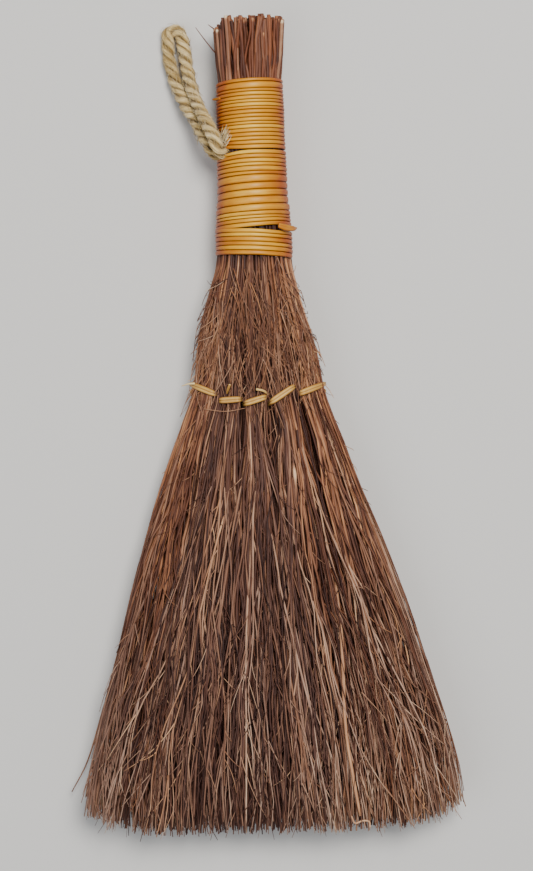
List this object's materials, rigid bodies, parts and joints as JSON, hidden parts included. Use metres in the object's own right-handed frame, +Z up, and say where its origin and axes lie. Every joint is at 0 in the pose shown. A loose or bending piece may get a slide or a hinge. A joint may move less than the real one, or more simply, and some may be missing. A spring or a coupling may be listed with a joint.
{
  "type": "twig hand broom",
  "caption": "Small flat hand broom of fine twigs, fanned out and stitched, with a cane-bound round handle and a rope hanging loop, lying on its back.",
  "frame": {"origin": "under the middle of the broom, on the surface it lies on", "axes": "+Y along the broom towards the butt, +X across the fan, +Z up, square to the flat fan"},
  "size_m": [0.1414, 0.305, 0.0289],
  "materials": {
    "twigs_handle": "matt, dry reddish-brown twigs packed side by side",
    "twigs_fan": "matt, dry dark reddish-brown fine twigs",
    "cane": "semi-gloss split rattan cane, golden yellow",
    "stitch_cane": "semi-gloss split rattan cane, paler",
    "rope": "hairy three-strand laid natural-fibre rope"
  },
  "bodies": {
    "handle": {"upper_bunch_1": "twigs_handle", "upper_bunch_2": "twigs_handle", "upper_bunch_3": "twigs_handle", "upper_bunch_4": "twigs_handle", "upper_bunch_5": "twigs_handle", "binding_upper": "cane", "binding_middle": "cane", "binding_lower": "cane", "cane_end": "cane", "rope_ends": "rope", "stitch_cane_a": "stitch_cane", "stitch_cane_b": "stitch_cane"},
    "fan_1": {"fan_bunch_1": "twigs_fan"},
    "fan_2": {"fan_bunch_2": "twigs_fan"},
    "fan_3": {"fan_bunch_3": "twigs_fan"},
    "fan_4": {"fan_bunch_4": "twigs_fan"},
    "fan_5": {"fan_bunch_5": "twigs_fan"},
    "loop": {"hanging_loop": "rope"}
  },
  "joints": [
    {"name": "fan_bunch_1_flex", "type": "hinge", "parent": "handle", "child": "fan_1", "pos_m": [0, 0.003, 0.01445], "axis": [-1, 0, 0], "range_deg": [0, 20], "stiffness_Nm_per_rad": 0.35},
    {"name": "fan_bunch_2_flex", "type": "hinge", "parent": "handle", "child": "fan_2", "pos_m": [0, 0.003, 0.01445], "axis": [-1, 0, 0], "range_deg": [0, 20], "stiffness_Nm_per_rad": 0.35},
    {"name": "fan_bunch_3_flex", "type": "hinge", "parent": "handle", "child": "fan_3", "pos_m": [0, 0.003, 0.01445], "axis": [-1, 0, 0], "range_deg": [0, 20], "stiffness_Nm_per_rad": 0.35},
    {"name": "fan_bunch_4_flex", "type": "hinge", "parent": "handle", "child": "fan_4", "pos_m": [0, 0.003, 0.01445], "axis": [-1, 0, 0], "range_deg": [0, 20], "stiffness_Nm_per_rad": 0.35},
    {"name": "fan_bunch_5_flex", "type": "hinge", "parent": "handle", "child": "fan_5", "pos_m": [0, 0.003, 0.01445], "axis": [-1, 0, 0], "range_deg": [0, 20], "stiffness_Nm_per_rad": 0.35},
    {"name": "loop_swing", "type": "hinge", "parent": "handle", "child": "loop", "pos_m": [-0.0152, 0.1016, 0.02185], "axis": [0.5082, 0, 0.8613], "range_deg": [0, 95]}
  ]
}
